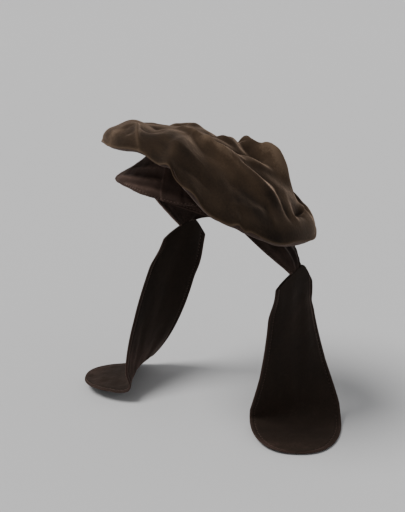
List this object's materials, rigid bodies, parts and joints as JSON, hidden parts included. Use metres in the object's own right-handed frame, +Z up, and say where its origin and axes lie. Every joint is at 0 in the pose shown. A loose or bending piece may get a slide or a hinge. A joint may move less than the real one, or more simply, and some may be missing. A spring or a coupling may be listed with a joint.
{
  "type": "peasant cap",
  "caption": "Peasant's velvet cap with a wide slouching crown rising to the front, a tucked underside, a narrow head band, and ear tabs with long lappets that widen to round ends.",
  "frame": {"origin": "centre of the head opening, on the cap's middle line, at the height of the band's lower edge above the ears", "axes": "+Z up from the opening towards the crown, -Y towards the wearer's front, +X towards the wearer's left"},
  "size_m": [0.2921, 0.2013, 0.3277],
  "materials": {
    "crown_velvet": "olive brown velvet, crushed, lighter on the crests",
    "underside_velvet": "dark reddish brown velvet",
    "lappet_velvet": "near-black brown velvet with a reddish sheen"
  },
  "bodies": {
    "root": {"crown_top": "crown_velvet", "crown_underside": "underside_velvet", "headband": "underside_velvet", "ear_tab_left": "underside_velvet", "ear_tab_right": "underside_velvet", "lappet_left": "lappet_velvet", "lappet_right": "lappet_velvet"}
  },
  "joints": []
}
